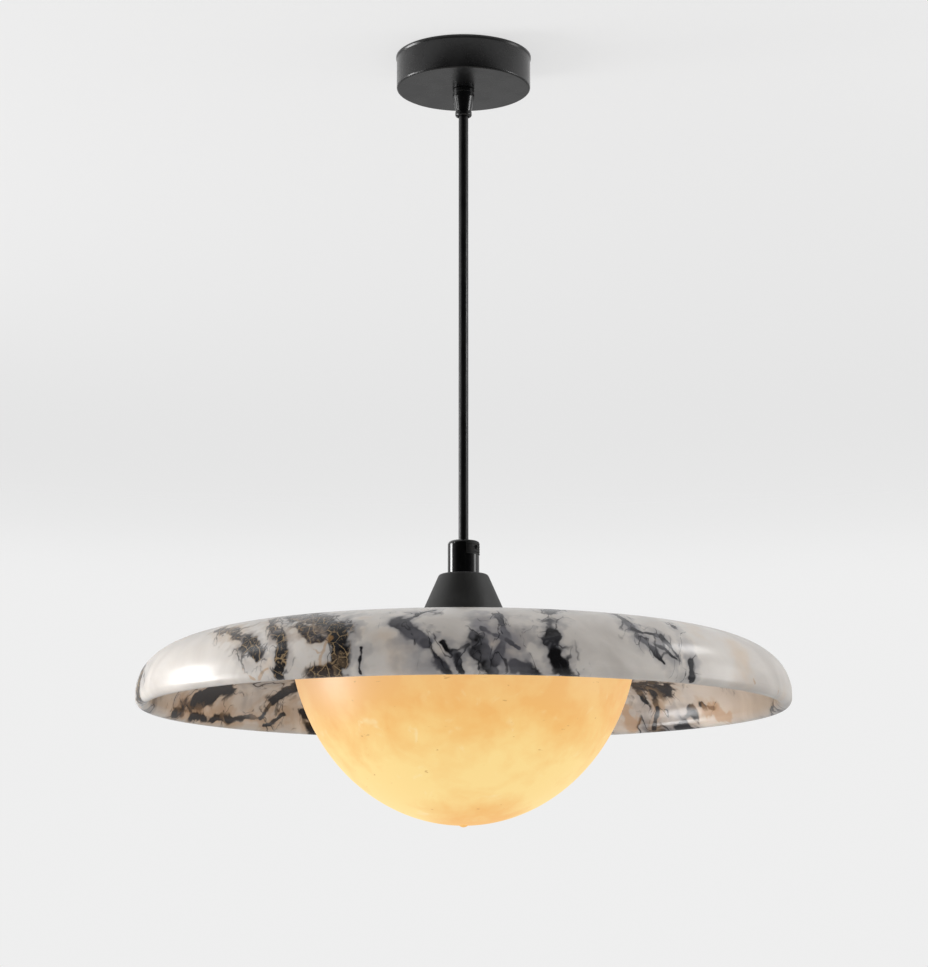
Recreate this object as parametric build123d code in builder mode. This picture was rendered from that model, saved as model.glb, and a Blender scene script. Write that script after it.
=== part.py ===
from build123d import *
from math import acos, asin, cos, pi, radians, sin, sqrt, tan
import os

# A pendant lamp: a stone dish and an alabaster bowl hung from a black ceiling cup on a round cord.
# Millimetres, +Z up. The origin is on the ceiling, in the middle of the ceiling cup.
# The cord's axis is the Z axis, and the front of the lamp faces -Y.

os.makedirs("parts", exist_ok=True)

# General fits
sheet_wall = 1.2
thread_fit = 0.05
running_gap = 0.3
thread_radius = 5.0
tube_bore_radius = 4.0
nut_flats = 14.0
nut_height = 3.0

# Ceiling cup
cup_radius = 50.0
cup_height = 25.0
cup_lip = 0.6
cup_lip_height = 2.4
cup_edge_round = 1.3

# Strap that is screwed to the ceiling
strap_width = 16.0
strap_thickness = 1.5
strap_drop = 10.0
strap_middle_half = 24.0
strap_joggle = 4.0
strap_tab = 16.0
slot_width = 4.5
slot_length = 12.0

# Cord and its three cores
cord_radius = 3.6
cord_shown = 321.3
core_radius = 0.8
core_circle = 1.7
core_bend = 1.2

# Two-piece cord grip under the cup
grip_radius = 8.1
collar_height = 3.3
collar_spigot_radius = 6.4
collar_spigot_height = 7.7
grip_cap_height = 18.0
grip_band = 3.1
grip_waist_radius = 5.85
grip_bead_radius = 6.2
grip_bead_height = 3.4
grip_edge = 0.4
swing_limit = 12.0
pivot_above_tip = 1.7
seat_wall = 1.0
seat_edge = 1.2

# Terminal block on the cup's floor
block_length = 20.0
block_depth = 16.0
block_height = 12.0
pole_spacing = 10.0
sleeve_radius = 2.2
sleeve_bore = 1.3
screw_radius = 1.5
screw_head_height = 1.8
screw_slot_width = 0.7
screw_slot_depth = 0.8
earth_screw_inset = 4.0

# Turned neck with its cord clamp
neck_radius = 11.4
neck_height = 24.7
neck_round = 3.0
neck_tube_height = 11.0
window_width = 15.0
window_depth = 10.6
window_azimuth = -40.0
clamp_proud = 0.35
clamp_rib_count = 5
clamp_rib_groove = 0.45

# Spun cone
cone_top_radius = 17.7
cone_base_radius = 38.4
cone_height = 46.9
cone_round = 2.5
cone_gasket_thickness = 0.8

# Stone dish
dish_radius = 233.8
dish_flat_radius = 159.0
dish_depth = 50.5
dish_lip_drop = 6.55
dish_wall = 11.2
dish_lip_width = 10.8
dish_hole_radius = 32.0
dish_power = 2.344

# Strap hanger that carries the pan through the stone
hanger_width = 12.0
hanger_foot = 12.0
hanger_gap = 1.2

# Steel pan under the stone, with a skirt round the bowl's rim
pan_gap = 1.1
pan_skirt = 9.6
pan_bend = 2.0
pan_hole_radius = 23.0
gasket_width = 18.0
gasket_inset = 11.9
gasket_play = 0.02

# Alabaster bowl
bowl_radius = 123.6
bowl_semi_height = 142.0
bowl_rise = 24.8
bowl_wall = 9.5
bowl_edge_round = 1.0
bowl_pip_radius = 3.3
bowl_pip_height = 1.3
bowl_gasket_thickness = 1.0

# Thumb screws through the skirt
thumb_count = 3
thumb_first_azimuth = 90.0
thumb_radius = 2.0
thumb_head_radius = 5.5
thumb_head_length = 5.0
thumb_head_gap = 3.0
thumb_flutes = 18
thumb_flute_radius = 0.45
thumb_tip_length = 1.0
boss_radius = 4.25
boss_length = 4.0

# Lampholder for a 27 mm screw cap
holder_radius = 19.5
holder_wall = 1.6
holder_neck_radius = 8.0
holder_neck_height = 5.0
holder_cap_height = 14.6
holder_lap = 2.6
holder_ring = 1.0
socket_radius = 13.5
socket_wall = 0.5
socket_length = 27.0
insulator_height = 6.0
terminal_size = 5.0
terminal_circle = 10.0
leaf_drop = 1.2
leaf_width = 5.0
leaf_thickness = 0.5

# Bulb
bulb_radius = 30.0
glass_bulge = 1.5
bulb_shoulder = 24.0
bulb_collar_height = 24.0
bulb_wall = 1.2
bulb_cap_gap = 0.4
bulb_seat_gap = 1.5
bulb_insulator_height = 3.5
bulb_tip_radius = 5.0
bulb_tip_height = 1.5

# Levels along the axis, from the ceiling down
strap_top = -strap_drop
strap_bottom = strap_top - strap_thickness
cup_bottom = -cup_height
cup_floor = cup_bottom + sheet_wall
collar_bottom = cup_bottom - collar_height
grip_tip = collar_bottom - grip_cap_height
pivot = grip_tip + pivot_above_tip
neck_top = grip_tip - cord_shown
neck_bottom = neck_top - neck_height
neck_tube_top = neck_bottom + neck_tube_height
cone_bottom = neck_bottom - cone_height
dish_top = cone_bottom - cone_gasket_thickness
dish_ceiling = dish_top - dish_wall
dish_widest = dish_top - dish_depth + dish_lip_drop
hanger_thickness = strap_thickness
hanger_top = neck_bottom - sheet_wall
nut_top = hanger_top - hanger_thickness
holder_top = nut_top - nut_height
pan_top = dish_ceiling - hanger_thickness
pan_bottom = pan_top - sheet_wall
gasket_top = pan_bottom - running_gap
bowl_rim = gasket_top - bowl_gasket_thickness
bowl_centre = bowl_rim + bowl_rise
cone_slope = (cone_base_radius - cone_top_radius) / cone_height
bore = thread_radius + thread_fit


def circle_height(radius, across):
    """Height of a circle of this radius above its centre, at this distance across."""
    return sqrt(radius**2 - across**2)


# Strap, screwed to the ceiling through its two slots
tab_inner = strap_middle_half + strap_joggle
tab_outer = tab_inner + strap_tab
slot_centre = (tab_inner + tab_outer) / 2
earth_screw_x = strap_middle_half - earth_screw_inset
with BuildPart() as ceiling_bracket:
    with BuildSketch(Plane.XZ):
        with BuildLine():
            Polyline(
                (-tab_outer, 0),
                (-tab_inner, 0),
                (-strap_middle_half, strap_top),
                (strap_middle_half, strap_top),
                (tab_inner, 0),
                (tab_outer, 0),
                (tab_outer, -strap_thickness),
                (tab_inner + strap_thickness / 2, -strap_thickness),
                (strap_middle_half + strap_thickness / 2, strap_bottom),
                (-strap_middle_half - strap_thickness / 2, strap_bottom),
                (-tab_inner - strap_thickness / 2, -strap_thickness),
                (-tab_outer, -strap_thickness),
                close=True,
            )
        make_face()
    extrude(amount=strap_width / 2, both=True)
    tab_corners = ceiling_bracket.edges().filter_by(Axis.Z)
    fillet(tab_corners.group_by(Axis.X)[0] + tab_corners.group_by(Axis.X)[-1], strap_width / 5)
    with BuildSketch():
        with Locations((-slot_centre, 0), (slot_centre, 0)):
            SlotOverall(slot_length, slot_width)
        Circle(bore)
        with Locations((earth_screw_x, 0)):
            Circle(screw_radius + thread_fit)
    extrude(amount=-cup_height, mode=Mode.SUBTRACT)
ceiling_bracket.part.label = "ceiling_bracket"
export_step(ceiling_bracket.part, "parts/ceiling_bracket.step")

# Threaded tube from the strap down into the grip's collar
nipple_top = strap_top + nut_height + 0.5
collar_spigot_bottom = collar_bottom - collar_spigot_height
collar_thread_bottom = collar_spigot_bottom + 2.2
with BuildPart() as ceiling_nipple:
    with BuildSketch(Plane.XY.offset(nipple_top)):
        Circle(thread_radius)
        Circle(tube_bore_radius, mode=Mode.SUBTRACT)
    extrude(amount=-(nipple_top - collar_thread_bottom - running_gap))
    chamfer(ceiling_nipple.edges().filter_by(GeomType.CIRCLE).sort_by(SortBy.RADIUS)[-2:], 0.4)
ceiling_nipple.part.label = "ceiling_nipple"
export_step(ceiling_nipple.part, "parts/ceiling_nipple.step")

# Two nuts that lock the tube to the strap
with BuildPart() as bracket_nuts:
    for level in (strap_top + nut_height, strap_bottom):
        with BuildSketch(Plane.XY.offset(level)):
            RegularPolygon(nut_flats / 2, 6, major_radius=False)
            Circle(bore, mode=Mode.SUBTRACT)
        extrude(amount=-nut_height)
bracket_nuts.part.label = "bracket_nuts"
export_step(bracket_nuts.part, "parts/bracket_nuts.step")

# Ceiling cup, spun from sheet, with a lip that turns out a little at the ceiling
with BuildPart() as canopy:
    with BuildSketch(Plane.XZ):
        with BuildLine():
            Polyline(
                (bore + running_gap, cup_bottom),
                (cup_radius, cup_bottom),
                (cup_radius, -cup_lip_height),
                (cup_radius + cup_lip, -cup_lip_height / 2),
                (cup_radius + cup_lip, 0),
                (cup_radius + cup_lip - sheet_wall, 0),
                (cup_radius - sheet_wall, -cup_lip_height),
                (cup_radius - sheet_wall, cup_floor),
                (bore + running_gap, cup_floor),
                close=True,
            )
        cup_section = make_face()
        fillet(cup_section.vertices().sort_by_distance((cup_radius, cup_bottom))[0], cup_edge_round)
    revolve(axis=Axis.Z)
canopy.part.label = "canopy"
export_step(canopy.part, "parts/canopy.step")

# Grip collar: a plain flange that clamps the cup, with a spigot for the cap
with BuildPart() as grip_collar:
    with BuildSketch(Plane.XZ):
        with BuildLine():
            Polyline(
                (bore, cup_bottom),
                (grip_radius - grip_edge, cup_bottom),
                (grip_radius, cup_bottom - grip_edge),
                (grip_radius, collar_bottom + grip_edge),
                (grip_radius - grip_edge, collar_bottom),
                (collar_spigot_radius, collar_bottom),
                (collar_spigot_radius, collar_spigot_bottom),
                (cord_radius + running_gap, collar_spigot_bottom),
                (cord_radius + running_gap, collar_thread_bottom),
                (bore, collar_thread_bottom),
                close=True,
            )
        make_face()
    revolve(axis=Axis.Z)
grip_collar.part.label = "grip_collar"
export_step(grip_collar.part, "parts/grip_collar.step")

# Grip cap: straight band, taper and a rounded bead with the cord's mouth
cap_bore = collar_spigot_radius + thread_fit
cap_bore_bottom = collar_spigot_bottom - 0.2
seat_radius = cord_radius + running_gap + seat_wall
seat_bore = seat_radius + running_gap
bush_bottom = pivot + seat_radius - 0.5
mouth_drop = pivot - grip_tip
mouth_tilt = radians(swing_limit * sqrt(2))
mouth_radius = cord_radius / cos(mouth_tilt) + mouth_drop * tan(mouth_tilt) + running_gap / 2
seat_low = pivot - seat_radius * sin(radians(swing_limit * sqrt(2))) + seat_edge - running_gap
bead_top = grip_tip + grip_bead_height
with BuildPart() as grip_cap:
    with BuildSketch(Plane.XZ):
        with BuildLine():
            Polyline(
                (cap_bore, collar_bottom),
                (grip_radius - grip_edge, collar_bottom),
                (grip_radius, collar_bottom - grip_edge),
                (grip_radius, collar_bottom - grip_band),
                (grip_waist_radius, bead_top + 0.5),
                (grip_bead_radius, bead_top),
                (grip_bead_radius, grip_tip),
                (mouth_radius, grip_tip),
                (mouth_radius, seat_low),
                (seat_bore, seat_low),
                (seat_bore, bush_bottom),
                (collar_spigot_radius - 0.4, cap_bore_bottom),
                (cap_bore, cap_bore_bottom),
                close=True,
            )
        cap_section = make_face()
        bead_corner = cap_section.vertices().sort_by_distance((grip_bead_radius, grip_tip))[0]
        fillet(bead_corner, (grip_bead_radius - mouth_radius) * 0.85)
    revolve(axis=Axis.Z)
grip_cap.part.label = "grip_cap"
export_step(grip_cap.part, "parts/grip_cap.step")

# Compression bush between the spigot and the cap's inner taper
with BuildPart() as grip_bush:
    with BuildSketch(Plane.XZ):
        with BuildLine():
            Polyline(
                (cord_radius + thread_fit, cap_bore_bottom),
                (collar_spigot_radius - 0.4 - thread_fit, cap_bore_bottom),
                (seat_bore - thread_fit, bush_bottom),
                (cord_radius + thread_fit, bush_bottom),
                close=True,
            )
        make_face()
    revolve(axis=Axis.Z)
grip_bush.part.label = "grip_bush"
export_step(grip_bush.part, "parts/grip_bush.step")

# Cord sheath held in the grip, up to the top of the tube
sheath_top = nipple_top + 0.1
with BuildPart() as cord_top_end:
    with BuildSketch(Plane.XY.offset(sheath_top)):
        Circle(cord_radius)
    extrude(amount=-(sheath_top - (pivot + seat_radius + running_gap)))
cord_top_end.part.label = "cord_top_end"
export_step(cord_top_end.part, "parts/cord_top_end.step")

# Rubber seat inside the grip's mouth, in which the cord's round end tilts
with BuildPart() as flex_seat:
    with BuildSketch(Plane.XZ):
        with Locations((0, pivot)):
            Circle(seat_radius)
            Circle(seat_radius - seat_wall, mode=Mode.SUBTRACT)
        with Locations((seat_radius, pivot + seat_edge + seat_radius)):
            Rectangle(2 * seat_radius, 2 * seat_radius, mode=Mode.INTERSECT)
    revolve(axis=Axis.Z)
flex_seat.part.label = "flex_seat"
export_step(flex_seat.part, "parts/flex_seat.step")

# Cord, taut and straight from its pivot in the grip to the tube in the neck
cord_bottom = neck_tube_top + running_gap
with BuildPart() as suspension_cord:
    with BuildSketch(Plane.XY.offset(pivot)):
        Circle(cord_radius)
    extrude(amount=-(pivot - cord_bottom))
    with Locations((0, 0, pivot)):
        Sphere(cord_radius)
suspension_cord.part.label = "suspension_cord"
export_step(suspension_cord.part, "parts/suspension_cord.step")

# Two-pole terminal block that lies on the cup's floor, with brass sleeves and screws
block_y = 22.0
block_top = cup_floor + block_height
sleeve_level = cup_floor + 5.3
pole_places = [(-pole_spacing / 2, block_y), (pole_spacing / 2, block_y)]
with BuildPart() as terminal_block:
    with BuildSketch(Plane.XY.offset(cup_floor)):
        with Locations((0, block_y)):
            RectangleRounded(block_length, block_depth, 1.0)
    extrude(amount=block_height)
    with BuildSketch(Plane.XZ):
        with Locations([(x, sleeve_level) for x, y in pole_places]):
            Circle(sleeve_radius + thread_fit)
    extrude(amount=-2 * block_y, mode=Mode.SUBTRACT)
    with BuildSketch(Plane.XY.offset(block_top)):
        for x, y in pole_places:
            with Locations((x, y - block_depth / 4), (x, y + block_depth / 4)):
                Circle(screw_radius + thread_fit)
    extrude(amount=-(block_top - sleeve_level), mode=Mode.SUBTRACT)
    with BuildSketch(Plane.XY.offset(block_top)):
        with Locations((0, block_y)):
            Rectangle(1.2, block_depth)
    extrude(amount=-block_height / 3, mode=Mode.SUBTRACT)
terminal_block.part.label = "terminal_block"
export_step(terminal_block.part, "parts/terminal_block.step")

with BuildPart() as terminal_sleeves:
    with BuildSketch(Plane.XZ.offset(-(block_y - block_depth / 2 + 0.5))):
        with Locations([(x, sleeve_level) for x, y in pole_places]):
            Circle(sleeve_radius)
            Circle(sleeve_bore, mode=Mode.SUBTRACT)
    extrude(amount=-(block_depth - 1.0))
terminal_sleeves.part.label = "terminal_sleeves"
export_step(terminal_sleeves.part, "parts/terminal_sleeves.step")

screw_bottom = sleeve_level + sleeve_radius + thread_fit
with BuildPart() as terminal_screws:
    with BuildSketch(Plane.XY.offset(screw_bottom)):
        for x, y in pole_places:
            with Locations((x, y - block_depth / 4), (x, y + block_depth / 4)):
                Circle(screw_radius)
    extrude(amount=block_top - screw_bottom - 0.8)
    with BuildSketch(Plane.XY.offset(block_top - 0.8)):
        for x, y in pole_places:
            with Locations((x, y - block_depth / 4), (x, y + block_depth / 4)):
                Rectangle(0.5, 2 * screw_radius)
    extrude(amount=-0.6, mode=Mode.SUBTRACT)
terminal_screws.part.label = "terminal_screws"
export_step(terminal_screws.part, "parts/terminal_screws.step")

# Earth tag and its screw on the strap
tag_thickness = 0.6
tag_radius = 3.2
barrel_length = 3.4
barrel_level = strap_top + tag_thickness + core_radius + thread_fit
barrel_start = earth_screw_x - tag_radius - barrel_length
with BuildPart() as earth_tag:
    with BuildSketch(Plane.XY.offset(strap_top)):
        with Locations((earth_screw_x, 0)):
            Circle(tag_radius)
        with Locations((barrel_start + (barrel_length + tag_radius) / 2, 0)):
            Rectangle(barrel_length + tag_radius, 2 * core_radius)
        with Locations((earth_screw_x, 0)):
            Circle(screw_radius + thread_fit, mode=Mode.SUBTRACT)
    extrude(amount=tag_thickness)
    with BuildSketch(Plane.YZ.offset(barrel_start)):
        with Locations((0, barrel_level)):
            Circle(core_radius + 0.35)
            Circle(core_radius + thread_fit, mode=Mode.SUBTRACT)
        with Locations((0, strap_top - 1.0)):
            Rectangle(4 * core_radius, 2.0, mode=Mode.SUBTRACT)
    extrude(amount=barrel_length - 0.4)
earth_tag.part.label = "earth_tag"
export_step(earth_tag.part, "parts/earth_tag.step")

earth_head_bottom = strap_top + tag_thickness
with BuildPart() as earth_screw:
    with BuildSketch(Plane.XY.offset(earth_head_bottom)):
        with Locations((earth_screw_x, 0)):
            Circle(2 * screw_radius)
    extrude(amount=screw_head_height)
    fillet(earth_screw.edges().group_by(Axis.Z)[-1], 0.6)
    with BuildSketch(Plane.XY.offset(earth_head_bottom)):
        with Locations((earth_screw_x, 0)):
            Circle(screw_radius)
    extrude(amount=-(tag_thickness + strap_thickness + 3.0))
    with BuildSketch(Plane.XY.offset(earth_head_bottom + screw_head_height)):
        with Locations((earth_screw_x, 0)):
            Rectangle(4 * screw_radius, screw_slot_width)
    extrude(amount=-screw_slot_depth, mode=Mode.SUBTRACT)
earth_screw.part.label = "earth_screw"
export_step(earth_screw.part, "parts/earth_screw.step")


def core_along(points, bend):
    """One insulated core: a round wire along straight runs joined by arcs."""
    with BuildPart() as core:
        with BuildLine() as route:
            FilletPolyline(*points, radius=bend)
        with BuildSketch(Plane(route.line @ 0, z_dir=route.line % 0)):
            Circle(core_radius)
        sweep()
    return core


# Cores from the sheath's end to the terminal block and the earth tag
core_start = [
    (core_circle * cos(radians(a)), core_circle * sin(radians(a)), sheath_top) for a in (120, 240, 0)
]
block_face = block_y - block_depth / 2
drop_y = block_face - core_radius - 2.2
low_run = sheath_top + 2.3
high_run = low_run + 2.1
core_ends = {"ceiling_live_core": (0, low_run, -1), "ceiling_neutral_core": (1, high_run, 1)}
for name, (index, run, side) in core_ends.items():
    x, y, z = core_start[index]
    pole_x = side * pole_spacing / 2
    core_part = core_along(
        [
            (x, y, z),
            (x, y, run),
            (pole_x, drop_y, run),
            (pole_x, drop_y, sleeve_level),
            (pole_x, block_face + 3.0, sleeve_level),
        ],
        core_bend,
    )
    core_part.part.label = name
    export_step(core_part.part, f"parts/{name}.step")

x, y, z = core_start[2]
earth_drop_x = nut_flats / sqrt(3) + core_radius + 0.7
ceiling_earth_core = core_along(
    [
        (x, y, z),
        (x, y, low_run),
        (earth_drop_x, 0, low_run),
        (earth_drop_x, 0, barrel_level),
        (barrel_start + barrel_length / 2, 0, barrel_level),
    ],
    core_bend,
)
ceiling_earth_core.part.label = "ceiling_earth_core"
export_step(ceiling_earth_core.part, "parts/ceiling_earth_core.step")

# Neck, turned from brass rod and lacquered, with a window cut for the clamp
window_bottom = neck_top - window_depth
window_direction = Plane(
    origin=(0, 0, window_bottom), x_dir=(cos(radians(window_azimuth)), sin(radians(window_azimuth)), 0)
)
with BuildPart() as neck_body:
    with BuildSketch(Plane.XY.offset(neck_bottom)):
        Circle(neck_radius)
    extrude(amount=neck_height)
    fillet(neck_body.edges().group_by(Axis.Z)[-1], neck_round)
    with BuildSketch(Plane.XY.offset(neck_bottom)):
        Circle(bore)
    extrude(amount=neck_tube_height + running_gap / 2, mode=Mode.SUBTRACT)
    with BuildSketch(Plane.XY.offset(neck_bottom)):
        Circle(cord_radius + running_gap)
    extrude(amount=neck_height, mode=Mode.SUBTRACT)
    with BuildSketch(window_direction):
        with Locations((neck_radius, 0)):
            Rectangle(2 * neck_radius, window_width)
    extrude(amount=window_depth, mode=Mode.SUBTRACT)
neck_body.part.label = "neck_body"
export_step(neck_body.part, "parts/neck_body.step")

# Ribbed saddle in the window, pressed on the cord by its grub screw
clamp_radius = neck_radius + clamp_proud
clamp_height = window_depth - running_gap
clamp_rib_pitch = clamp_height / (2 * clamp_rib_count + 1)
clamp_screw_level = window_bottom + clamp_height / 2
clamp_screw_plane = Plane(
    origin=(0, 0, clamp_screw_level), z_dir=(cos(radians(window_azimuth)), sin(radians(window_azimuth)), 0)
)
with BuildPart() as cord_clamp:
    with BuildSketch(Plane.XY.offset(window_bottom)):
        Circle(clamp_radius)
    extrude(amount=clamp_height)
    fillet(cord_clamp.edges().group_by(Axis.Z)[-1], neck_round * 0.8)
    for rib in range(clamp_rib_count):
        groove_level = window_bottom + (2 * rib + 1) * clamp_rib_pitch
        with BuildSketch(Plane.XY.offset(groove_level)):
            Circle(clamp_radius + 1.0)
            Circle(clamp_radius - clamp_rib_groove, mode=Mode.SUBTRACT)
        extrude(amount=clamp_rib_pitch * 0.8, mode=Mode.SUBTRACT)
    with BuildSketch(window_direction):
        with Locations((clamp_radius, 0)):
            Rectangle(2 * clamp_radius, window_width - 2 * running_gap)
    extrude(amount=clamp_height, mode=Mode.INTERSECT)
    with BuildSketch(Plane.XY.offset(window_bottom)):
        Circle(cord_radius + running_gap)
    extrude(amount=clamp_height, mode=Mode.SUBTRACT)
    with BuildSketch(clamp_screw_plane.offset(cord_radius + 1.0)):
        Circle(screw_radius + thread_fit)
    extrude(amount=neck_radius, mode=Mode.SUBTRACT)
cord_clamp.part.label = "cord_clamp"
export_step(cord_clamp.part, "parts/cord_clamp.step")

clamp_screw_length = neck_radius - cord_radius - 2.2
with BuildPart() as clamp_screw:
    with BuildSketch(clamp_screw_plane.offset(cord_radius + 1.0)):
        Circle(screw_radius)
    extrude(amount=clamp_screw_length)
    with BuildSketch(clamp_screw_plane.offset(cord_radius + 1.0 + clamp_screw_length)):
        RegularPolygon(screw_radius * 0.5, 6, major_radius=False)
    extrude(amount=-1.5, mode=Mode.SUBTRACT)
clamp_screw.part.label = "clamp_screw"
export_step(clamp_screw.part, "parts/clamp_screw.step")

# Threaded tube that joins the neck, cone, hanger and lampholder, and the nut that locks them
with BuildPart() as lamp_nipple:
    with BuildSketch(Plane.XY.offset(neck_tube_top)):
        Circle(thread_radius)
        Circle(tube_bore_radius, mode=Mode.SUBTRACT)
    extrude(amount=-(neck_tube_top - holder_top + holder_neck_height))
    chamfer(lamp_nipple.edges().filter_by(GeomType.CIRCLE).sort_by(SortBy.RADIUS)[-2:], 0.4)
lamp_nipple.part.label = "lamp_nipple"
export_step(lamp_nipple.part, "parts/lamp_nipple.step")

with BuildPart() as lamp_nut:
    with BuildSketch(Plane.XY.offset(nut_top)):
        RegularPolygon(nut_flats / 2, 6, major_radius=False)
        Circle(bore, mode=Mode.SUBTRACT)
    extrude(amount=-nut_height)
lamp_nut.part.label = "lamp_nut"
export_step(lamp_nut.part, "parts/lamp_nut.step")

# Cone, spun from sheet, with a rounded shoulder
with BuildPart() as lamp_cone:
    with BuildSketch(Plane.XZ):
        with BuildLine():
            Polyline(
                (0, neck_bottom),
                (cone_top_radius, neck_bottom),
                (cone_base_radius, cone_bottom),
                (0, cone_bottom),
                close=True,
            )
        make_face()
    revolve(axis=Axis.Z)
    fillet(lamp_cone.edges().group_by(Axis.Z)[-1], cone_round)
    offset(amount=-sheet_wall, openings=lamp_cone.faces().sort_by(Axis.Z)[0])
    with BuildSketch(Plane.XY.offset(neck_bottom)):
        Circle(bore + running_gap)
    extrude(amount=-cone_round, mode=Mode.SUBTRACT)
lamp_cone.part.label = "lamp_cone"
export_step(lamp_cone.part, "parts/lamp_cone.step")

with BuildPart() as cone_gasket:
    with BuildSketch(Plane.XY.offset(dish_top)):
        Circle(cone_base_radius + 0.2)
        Circle(cone_base_radius - 2 * sheet_wall, mode=Mode.SUBTRACT)
    extrude(amount=cone_gasket_thickness)
cone_gasket.part.label = "cone_gasket"
export_step(cone_gasket.part, "parts/cone_gasket.step")

# Hanger: a bent strap that follows the cone's wall, then drops through the stone to two feet
hanger_x = sqrt((dish_hole_radius - hanger_gap) ** 2 - (hanger_width / 2) ** 2) - hanger_thickness
hanger_plate_half = cone_top_radius - 4.2
hanger_knee = nut_top - (hanger_x - hanger_plate_half) / cone_slope
hanger_foot_end = hanger_x + hanger_foot
pan_screw_x = hanger_x + hanger_thickness + (hanger_foot - hanger_thickness) / 2
with BuildPart() as hanger_yoke:
    with BuildSketch(Plane.XZ):
        with BuildLine():
            Polyline(
                (0, nut_top),
                (hanger_plate_half, nut_top),
                (hanger_x, hanger_knee),
                (hanger_x, pan_top),
                (hanger_foot_end, pan_top),
                (hanger_foot_end, dish_ceiling),
                (hanger_x + hanger_thickness, dish_ceiling),
                (hanger_x + hanger_thickness, hanger_knee),
                (hanger_plate_half + hanger_thickness, hanger_top),
                (0, hanger_top),
                close=True,
            )
        make_face()
    extrude(amount=hanger_width / 2, both=True)
    mirror(about=Plane.YZ)
    with BuildSketch(Plane.XY.offset(hanger_top)):
        Circle(bore)
    extrude(amount=-hanger_thickness, mode=Mode.SUBTRACT)
    with BuildSketch(Plane.XY.offset(dish_ceiling)):
        with Locations((-pan_screw_x, 0), (pan_screw_x, 0)):
            Circle(screw_radius + thread_fit)
    extrude(amount=-hanger_thickness, mode=Mode.SUBTRACT)
hanger_yoke.part.label = "hanger_yoke"
export_step(hanger_yoke.part, "parts/hanger_yoke.step")


def dish_curve(flat_radius, outer_radius, height, steps=8):
    """Points of the dish's shoulder, a superellipse from its widest level to its flat."""
    points = []
    for step in range(steps + 1):
        angle = pi / 2 * step / steps
        across = max(cos(angle), 0.0) ** (2 / dish_power)
        up = sin(angle) ** (2 / dish_power)
        points.append((flat_radius + (outer_radius - flat_radius) * across, dish_widest + height * up))
    return points


# Stone dish: flat top, rounded shoulder, full round lip, one even wall
dish_shoulder = dish_top - dish_widest
dish_inner_radius = dish_radius - dish_lip_width
outer_curve = dish_curve(dish_flat_radius, dish_radius, dish_shoulder)
inner_curve = dish_curve(dish_flat_radius, dish_inner_radius, dish_shoulder - dish_wall)
with BuildPart() as marble_disc:
    with BuildSketch(Plane.XZ):
        with BuildLine():
            Line((dish_hole_radius, dish_top), outer_curve[-1])
            Spline(outer_curve[::-1], tangents=[(1, 0), (0, -1)])
            EllipticalCenterArc(
                (dish_radius - dish_lip_width / 2, dish_widest),
                dish_lip_width / 2,
                dish_lip_drop,
                start_angle=180,
                arc_size=180,
            )
            Spline(inner_curve, tangents=[(0, 1), (-1, 0)])
            Polyline(inner_curve[-1], (dish_hole_radius, dish_ceiling), (dish_hole_radius, dish_top))
        make_face()
    revolve(axis=Axis.Z)
marble_disc.part.label = "marble_disc"
export_step(marble_disc.part, "parts/marble_disc.step")

# Soft ring between the stone and the pan, near the pan's edge
pan_inner_radius = bowl_radius + pan_gap
pan_outer_radius = pan_inner_radius + sheet_wall
gasket_outer_radius = pan_outer_radius - gasket_inset
with BuildPart() as disc_gasket:
    with BuildSketch(Plane.XY.offset(pan_top)):
        Circle(gasket_outer_radius)
        Circle(gasket_outer_radius - gasket_width, mode=Mode.SUBTRACT)
    extrude(amount=hanger_thickness - gasket_play)
disc_gasket.part.label = "disc_gasket"
export_step(disc_gasket.part, "parts/disc_gasket.step")

# Pan: pressed steel plate with a skirt, drilled for the thumb screws
skirt_bottom = pan_bottom - pan_skirt
thumb_level = (pan_bottom + skirt_bottom) / 2 - 0.3
thumb_azimuths = [thumb_first_azimuth + 360 / thumb_count * n for n in range(thumb_count)]


def thumb_plane(azimuth, distance):
    """A plane square to one thumb screw, this far out from the axis."""
    across = (cos(radians(azimuth)), sin(radians(azimuth)), 0)
    return Plane(origin=(0, 0, thumb_level), z_dir=across).offset(distance)


with BuildPart() as gallery_pan:
    with BuildSketch(Plane.XZ):
        with BuildLine():
            Polyline(
                (pan_hole_radius, pan_top),
                (pan_outer_radius, pan_top),
                (pan_outer_radius, skirt_bottom),
                (pan_inner_radius, skirt_bottom),
                (pan_inner_radius, pan_bottom),
                (pan_hole_radius, pan_bottom),
                close=True,
            )
        pan_section = make_face()
        fillet(pan_section.vertices().sort_by_distance((pan_outer_radius, pan_top))[0], pan_bend)
    revolve(axis=Axis.Z)
    with BuildSketch(Plane.XY.offset(pan_top)):
        with Locations((-pan_screw_x, 0), (pan_screw_x, 0)):
            Circle(screw_radius + running_gap)
    extrude(amount=-sheet_wall, mode=Mode.SUBTRACT)
    for azimuth in thumb_azimuths:
        with BuildSketch(thumb_plane(azimuth, bowl_radius)):
            Circle(thumb_radius + running_gap)
        extrude(amount=boss_length, mode=Mode.SUBTRACT)
gallery_pan.part.label = "gallery_pan"
export_step(gallery_pan.part, "parts/gallery_pan.step")

# Two screws that hold the pan to the hanger's feet
pan_screw_top = dish_ceiling - 0.1
with BuildPart() as pan_screws:
    with BuildSketch(Plane.XY.offset(pan_bottom)):
        with Locations((-pan_screw_x, 0), (pan_screw_x, 0)):
            Circle(2 * screw_radius)
    extrude(amount=-screw_head_height)
    with BuildSketch(Plane.XY.offset(pan_screw_top)):
        with Locations((-pan_screw_x, 0), (pan_screw_x, 0)):
            Circle(screw_radius)
    extrude(amount=-(pan_screw_top - pan_bottom))
    fillet(pan_screws.edges().group_by(Axis.Z)[0], 0.5)
pan_screws.part.label = "pan_screws"
export_step(pan_screws.part, "parts/pan_screws.step")

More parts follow.
